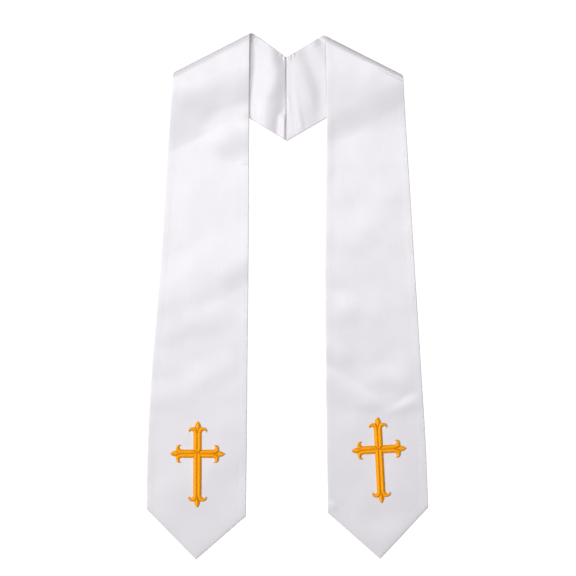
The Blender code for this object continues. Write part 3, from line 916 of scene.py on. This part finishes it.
def thread_mesh(name, tubes):
    """One mesh of closed tubes, with a UV map in metres round and along each thread."""
    threads, rings, corners = tubes.shape[:3]
    ids = np.arange(threads * rings * corners).reshape(threads, rings, corners)
    after = np.roll(ids, -1, axis=2)
    sides = np.stack((ids[:, :-1], ids[:, 1:], after[:, 1:], after[:, :-1]), axis=-1).reshape(-1, 4)
    caps = np.concatenate((ids[:, 0], ids[:, -1, ::-1]))
    faces = np.concatenate((sides, caps))
    mesh = bpy.data.meshes.new(name)
    mesh.from_pydata((tubes.reshape(-1, 3) * MM).tolist(), [], faces.tolist())
    length = np.linalg.norm(np.diff(tubes.mean(axis=2), axis=1), axis=2).cumsum(axis=1)
    along = np.zeros((threads, rings, corners))
    along[:, 1:] = length[..., None]
    along += (np.arange(threads) * TWIST_SHIFT)[:, None, None]
    round_it = np.broadcast_to(np.array(ROUND_THREAD), along.shape)
    places = np.stack((round_it, along), axis=-1).reshape(-1, 2) * MM
    layer = mesh.uv_layers.new(name="grain")
    layer.uv.foreach_set("vector", places[faces.ravel()].astype(np.float32).ravel())
    mesh.shade_smooth()
    mesh.set_sharp_from_angle(angle=SHARP_ANGLE)
    obj = bpy.data.objects.new(name, mesh)
    bpy.context.collection.objects.link(obj)
    return obj


crosses = {name: thread_mesh(f"{name}_cross_stitches", corners) for name, corners in cross_tubes.items()}
for name, cross in crosses.items():
    print(f"{name} cross: {len(cross.data.polygons)} faces")

# %% [markdown]
# ## The seam at the centre back
#
# The two bands are sewn to each other where they meet, by small stitches of white thread that go from one
# edge to the other. A line drawn by a texture would be cheaper, but these stitches hold the stole
# together, so each one is a thread, spanned over the gap and sunk into both bands.

# %% Stitches of the centre back seam
SEWING_PITCH = 2.6  # from stitch to stitch
SEWING_REACH = 0.9  # how far from the seam a stitch goes into a band,
SEWING_DEPTH = 0.3  # and how deep,
SEWING_ARCH = 0.12  # and how high its middle stands over the two edges
SEWING_HALF_WIDTH = 0.12
SEWING_HALF_HEIGHT = 0.1


def panel_top(side, y):
    """Height of a back panel's upper face where a stitch goes in."""
    lift = back_lift(side, SEAM_TOP[0] + side.sign * np.full(len(y), SEWING_REACH), y)
    return lift + HALF_WALL * (1 + rounded(SEWING_REACH, side.seam_rim))


def seam_threads():
    """Points of every stitch between the two bands, in millimetres."""
    length = np.hypot(*(SEAM_TOP - SEAM_BOTTOM))
    down = np.arange(SEWING_PITCH, length - SEWING_PITCH, SEWING_PITCH)
    places = lerp(SEAM_TOP, SEAM_BOTTOM, down / length)
    share = np.linspace(0, 1, THREAD_SEGMENTS + 1)
    x = places[:, :1] + (share * 2 - 1) * SEWING_REACH
    y = np.broadcast_to(places[:, 1:], x.shape)
    left, right = (panel_top(side, places[:, 1])[:, None] for side in SIDES)
    arch = (SEWING_DEPTH + SEWING_ARCH) * np.sin(math.pi * share) - SEWING_DEPTH
    middle = np.dstack((x, y, left * (1 - share) + right * share + arch))
    sideways = np.broadcast_to((0.0, 1.0, 0.0), (len(places), 1, 3))
    return thread_tubes(middle, sideways, SEWING_HALF_WIDTH, SEWING_HALF_HEIGHT)


seam = thread_mesh("seam_stitches", seam_threads())
print(f"seam: {len(seam.data.polygons)} faces")

# %% [markdown]
# ## Shader groups
#
# The satin of both faces needs the same weave, and the gold and the white thread need the same twist. An
# image of cloth would repeat and blur close up, so the effects are worked out by nodes. Each one is a
# group with named inputs, built once. A group gives out only heights and masks, and each material mixes
# its own colours and roughness from them.

# %% Helpers for node trees
NOISE_MIDDLE = (0.3, 0.7)  # where most of a noise's values lie


def new_group(name, inputs, outputs):
    """An empty shader group with its sockets, and its input and output nodes."""
    group = bpy.data.node_groups.new(name, "ShaderNodeTree")
    for label, kind, value in inputs:
        socket = group.interface.new_socket(label, in_out="INPUT", socket_type=kind)
        if value is not None:
            socket.default_value = value
    for label in outputs:
        group.interface.new_socket(label, in_out="OUTPUT", socket_type="NodeSocketFloat")
    return group, group.nodes.new("NodeGroupInput"), group.nodes.new("NodeGroupOutput")


def put(tree, socket, value):
    """Links a socket to an input, or sets the input to a number."""
    if isinstance(value, bpy.types.NodeSocket):
        tree.links.new(value, socket)
    else:
        socket.default_value = value


def calc(tree, operation, *values):
    """The output of a Math node on sockets or numbers."""
    node = tree.nodes.new("ShaderNodeMath")
    node.operation = operation
    for socket, value in zip(node.inputs, values):
        put(tree, socket, value)
    return node.outputs[0]


def spread(tree, value, low, high, new_low, new_high):
    """The output of a Map Range node."""
    node = tree.nodes.new("ShaderNodeMapRange")
    for socket, item in zip(node.inputs, (value, low, high, new_low, new_high)):
        put(tree, socket, item)
    return node.outputs[0]


def noise(tree, vector, stretch, detail):
    """The output of a Noise Texture, on coordinates scaled across the grain and along it."""
    mapping = tree.nodes.new("ShaderNodeMapping")
    put(tree, mapping.inputs["Vector"], vector)
    mapping.inputs["Scale"].default_value = stretch
    texture = tree.nodes.new("ShaderNodeTexNoise")
    texture.inputs["Scale"].default_value = 1.0
    texture.inputs["Detail"].default_value = detail
    put(tree, texture.inputs["Vector"], mapping.outputs[0])
    return texture.outputs["Fac"]


def mask(tree, vector, stretch, detail):
    """The middle of a noise's values, spread out from 0 to 1."""
    return spread(tree, noise(tree, vector, stretch, detail), *NOISE_MIDDLE, 0.0, 1.0)


# %% [markdown]
# ## Satin weave
#
# Satin is woven so that each warp thread floats over four weft threads and dips under the fifth, and
# the dips are scattered so that no diagonal shows. Real threads would be millions of faces, and a Brick
# texture has no dips. So the group works the weave out from the UV map: the number of the warp thread,
# the place across it, and the place along its float. It gives a height for the bump.

# %% Satin weave group
WEAVE_REPEAT = 5.0  # picks from dip to dip of a warp thread
WEAVE_MOVE = 2.0  # picks by which the dips of its neighbour lie further on
DIP_HALF_LENGTH = 0.16  # as a share of the repeat
DIP_HEIGHT = 0.25  # of a warp thread in the middle of a dip, as a share of its height on a float


def satin_weave():
    """Height of a five-end satin, from coordinates in metres across and along the warp."""
    group, given, result = new_group(
        "satin weave",
        (
            ("Vector", "NodeSocketVector", None),
            ("Ends per metre", "NodeSocketFloat", 4200.0),
            ("Picks per metre", "NodeSocketFloat", 3000.0),
        ),
        ("Height",),
    )
    split = group.nodes.new("ShaderNodeSeparateXYZ")
    group.links.new(given.outputs["Vector"], split.inputs[0])
    end = calc(group, "MULTIPLY", split.outputs["X"], given.outputs["Ends per metre"])
    number = calc(group, "FLOOR", end)
    across = calc(group, "FRACT", end)
    crown = calc(group, "SINE", calc(group, "MULTIPLY", across, math.pi))
    pick = calc(group, "MULTIPLY", split.outputs["Y"], given.outputs["Picks per metre"])
    shifted = calc(group, "MULTIPLY_ADD", number, WEAVE_MOVE, pick)
    place = calc(group, "FRACT", calc(group, "DIVIDE", shifted, WEAVE_REPEAT))
    from_dip = calc(group, "ABSOLUTE", calc(group, "SUBTRACT", place, 0.5))
    float_height = spread(group, from_dip, 0.0, DIP_HALF_LENGTH, DIP_HEIGHT, 1.0)
    group.links.new(calc(group, "MULTIPLY", crown, float_height), result.inputs["Height"])
    return group


WEAVE = satin_weave()
print(f"{WEAVE.name}: {len(WEAVE.nodes)} nodes")

# %% [markdown]
# ## Slubs and handling
#
# Yarn is never quite even, so satin has faint streaks along its warp. Pressed cloth has a soft mottle
# where it has been handled, and rumples that are wider and lower than any fold. Three noises give these,
# the first stretched along the grain and the others nearly round. They could be painted by hand, but a
# noise has no habits, and neither have these marks.

# %% Cloth unevenness group
Marks = namedtuple("Marks", "stretch detail")  # stretch: to the metre, across the grain and along it
STREAKS = Marks((900.0, 26.0, 1.0), 3.0)
MOTTLE = Marks((55.0, 40.0, 1.0), 2.0)
RUMPLE = Marks((14.0, 11.0, 1.0), 1.0)


def cloth_unevenness():
    """Streaks along the grain and a soft mottle, as masks from 0 to 1, and a height of wide rumples."""
    group, given, result = new_group(
        "cloth unevenness",
        (("Vector", "NodeSocketVector", None),),
        ("Streaks", "Mottle", "Rumple"),
    )
    vector = given.outputs["Vector"]
    group.links.new(mask(group, vector, *STREAKS), result.inputs["Streaks"])
    group.links.new(mask(group, vector, *MOTTLE), result.inputs["Mottle"])
    group.links.new(noise(group, vector, *RUMPLE), result.inputs["Rumple"])
    return group


UNEVEN = cloth_unevenness()
print(f"{UNEVEN.name}: {len(UNEVEN.nodes)} nodes")

# %% [markdown]
# ## Twisted thread
#
# Embroidery and sewing thread are both spun from two plies that wind round each other. The twist shows
# as slanting lines. Two wound tubes for each thread would make the mesh many times larger, so one group
# draws the lines from the UV map, which runs round the thread and along it.

# %% Thread twist group
TWIST_SLANT = 0.8  # how far along the thread a ply moves on, for each millimetre round it
TONE = Marks((300.0, 420.0, 1.0), 2.0)


def thread_twist():
    """Height of the plies and a slow change of tone along the thread."""
    group, given, result = new_group(
        "thread twist",
        (
            ("Vector", "NodeSocketVector", None),
            ("Plies per metre", "NodeSocketFloat", 2600.0),
        ),
        ("Height", "Tone"),
    )
    split = group.nodes.new("ShaderNodeSeparateXYZ")
    group.links.new(given.outputs["Vector"], split.inputs[0])
    slanted = calc(group, "MULTIPLY_ADD", split.outputs["X"], TWIST_SLANT, split.outputs["Y"])
    turns = calc(group, "MULTIPLY", slanted, given.outputs["Plies per metre"])
    ply = calc(group, "ABSOLUTE", calc(group, "SINE", calc(group, "MULTIPLY", turns, math.pi)))
    group.links.new(ply, result.inputs["Height"])
    group.links.new(mask(group, given.outputs["Vector"], *TONE), result.inputs["Tone"])
    return group


TWIST = thread_twist()
print(f"{TWIST.name}: {len(TWIST.nodes)} nodes")

# %% [markdown]
# ## The satin
#
# White satin is a pale base with a broad gloss. The gloss is stretched across the warp, because the long
# floats act like tiny cylinders that lie side by side. That is the shader's anisotropy, and a Tangent
# node lines it up with the cloth through the UV map. A plain gloss would give round highlights, as on
# paint. The lining face is the same satin, but it is handled less, so its row of values is a little
# smoother. Its colours are also a little darker and pinker, as painted shade that dims the neck panel,
# where the lining shows. Values that are the same all over the cloth are set on the shader's own sockets.

# %% Shared parts of a material
def start_material(name):
    """A material with its tree, its shader and the UV coordinates along the grain."""
    material = bpy.data.materials.new(name)
    material.use_nodes = True
    tree = material.node_tree
    shader = tree.nodes["Principled BSDF"]
    grain = tree.nodes.new("ShaderNodeUVMap")
    grain.uv_map = "grain"
    return material, tree, shader, grain.outputs[0]


def use_group(tree, group, vector):
    """A group node that reads the coordinates."""
    node = tree.nodes.new("ShaderNodeGroup")
    node.node_tree = group
    tree.links.new(vector, node.inputs["Vector"])
    return node


def blend_colours(tree, share, first, second):
    """The output of a Mix node on two colours."""
    node = tree.nodes.new("ShaderNodeMix")
    node.data_type = "RGBA"
    put(tree, node.inputs["Factor"], share)
    put(tree, node.inputs["A"], first)
    put(tree, node.inputs["B"], second)
    return node.outputs["Result"]


def add_bump(tree, shader, height):
    """A Bump node between a height in metres and the shader's normal."""
    bump = tree.nodes.new("ShaderNodeBump")
    bump.inputs["Distance"].default_value = 1.0
    tree.links.new(height, bump.inputs["Height"])
    tree.links.new(bump.outputs[0], shader.inputs["Normal"])


# %% Satin, for the outer face and for the lining face
WEAVE_DEPTH = 0.01 * MM
STREAKS_SHARE = 0.6  # of the change between the light and the dark colour that comes from the streaks,
MOTTLE_SHARE = 0.4  # and from the mottle
SHEEN = 0.05
SHEEN_ROUGHNESS = 0.4

Satin = namedtuple("Satin", "name light dark rough_low rough_high gloss anisotropy rumple")
OUTER_SATIN = Satin(
    name="satin_outer",
    light=(0.80, 0.785, 0.823, 1),
    dark=(0.77, 0.753, 0.79, 1),
    rough_low=0.42,
    rough_high=0.46,
    gloss=0.84,
    anisotropy=0.82,
    rumple=3.0 * MM,
)
LINING_SATIN = Satin(
    name="satin_lining",
    # painted shade: these colours are a little darker and pinker than the outer face's, to dim the neck
    # panel where the lining shows
    light=(0.785, 0.762, 0.803, 1),
    dark=(0.755, 0.73, 0.775, 1),
    rough_low=0.36,
    rough_high=0.4,
    gloss=1.0,
    anisotropy=0.8,
    rumple=0.6 * MM,
)


def satin_material(satin):
    """Satin with its weave, its streaks and its stretched gloss."""
    material, tree, shader, grain = start_material(satin.name)
    weave, uneven = use_group(tree, WEAVE, grain), use_group(tree, UNEVEN, grain)
    share = calc(tree, "MULTIPLY", uneven.outputs["Streaks"], STREAKS_SHARE)
    share = calc(tree, "MULTIPLY_ADD", uneven.outputs["Mottle"], MOTTLE_SHARE, share)
    put(tree, shader.inputs["Base Color"], blend_colours(tree, share, satin.light, satin.dark))
    rough = spread(tree, uneven.outputs["Streaks"], 0.0, 1.0, satin.rough_low, satin.rough_high)
    put(tree, shader.inputs["Roughness"], rough)
    height = calc(tree, "MULTIPLY", weave.outputs["Height"], WEAVE_DEPTH)
    add_bump(tree, shader, calc(tree, "MULTIPLY_ADD", uneven.outputs["Rumple"], satin.rumple, height))
    shader.inputs["Specular IOR Level"].default_value = satin.gloss
    shader.inputs["Anisotropic"].default_value = satin.anisotropy
    shader.inputs["Sheen Weight"].default_value = SHEEN
    shader.inputs["Sheen Roughness"].default_value = SHEEN_ROUGHNESS
    tangent = tree.nodes.new("ShaderNodeTangent")
    tangent.direction_type = "UV_MAP"
    tangent.uv_map = "grain"
    tree.links.new(tangent.outputs[0], shader.inputs["Tangent"])
    return material


for satin in (OUTER_SATIN, LINING_SATIN):
    material = satin_material(satin)
    for band in bands.values():
        band.data.materials.append(material)
    print(f"{material.name}: {len(material.node_tree.nodes)} nodes")

# %% [markdown]
# ## The threads
#
# The crosses are golden orange rayon: a strong base with a gloss of its own colour, as dyed filament has.
# The stitches of the seam are dull white sewing thread. Real strands could be rendered as hair, but these
# threads are meshes, and one function with two rows of values serves both.

# %% Thread, for the crosses and for the seam
TWIST_DEPTH = 0.008 * MM

Thread = namedtuple("Thread", "name light dark rough_low rough_high gloss tint")
GOLD_THREAD = Thread(
    name="gold_thread",
    light=(1.0, 0.42, 0.006, 1),
    dark=(0.98, 0.35, 0.004, 1),
    rough_low=0.34,
    rough_high=0.46,
    gloss=1.0,
    tint=(1, 0.6, 0.1, 1),
)
WHITE_THREAD = Thread(
    name="white_thread",
    light=(0.8, 0.78, 0.81, 1),
    dark=(0.74, 0.72, 0.75, 1),
    rough_low=0.5,
    rough_high=0.6,
    gloss=0.5,
    tint=(1, 1, 1, 1),
)


def thread_material(thread):
    """Twisted thread, with its change of tone and its gloss."""
    material, tree, shader, grain = start_material(thread.name)
    twist = use_group(tree, TWIST, grain)
    colour = blend_colours(tree, twist.outputs["Tone"], thread.light, thread.dark)
    put(tree, shader.inputs["Base Color"], colour)
    rough = spread(tree, twist.outputs["Tone"], 0.0, 1.0, thread.rough_low, thread.rough_high)
    put(tree, shader.inputs["Roughness"], rough)
    add_bump(tree, shader, calc(tree, "MULTIPLY", twist.outputs["Height"], TWIST_DEPTH))
    shader.inputs["Specular IOR Level"].default_value = thread.gloss
    shader.inputs["Specular Tint"].default_value = thread.tint
    return material


for thread, pieces in ((GOLD_THREAD, crosses.values()), (WHITE_THREAD, [seam])):
    material = thread_material(thread)
    for piece in pieces:
        piece.data.materials.append(material)
    print(f"{material.name}: {len(material.node_tree.nodes)} nodes")

# %% [markdown]
# ## Each piece in place of its solid
#
# Each band and each cross stands for its solid, and every piece rides on the part's one body. The seam's
# stitches have no solid, so they only ride. A band is a sheet of cloth, so its flat cut is given too: the
# width and length of the strip before it was folded over the shoulder, and its area, because the ends
# are cut on a slant. Both were worked out from the mesh, with the back panel turned out flat again.

# %% Ride and replace
for side in SIDES:
    band, cross = bands[side.name], crosses[side.name]
    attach(band, "root")
    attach(cross, "root")
    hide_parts(f"{side.name}_band")
    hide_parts(f"{side.name}_cross")
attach(seam, "root")

Cut = namedtuple("Cut", "width length area")  # in metres and square metres
CUTS = {"left": Cut(0.154, 0.955, 0.12), "right": Cut(0.156, 0.951, 0.119)}
for name, cut in CUTS.items():
    print(f"{name} band: cut {cut.width / MM:.0f} x {cut.length / MM:.0f} mm")
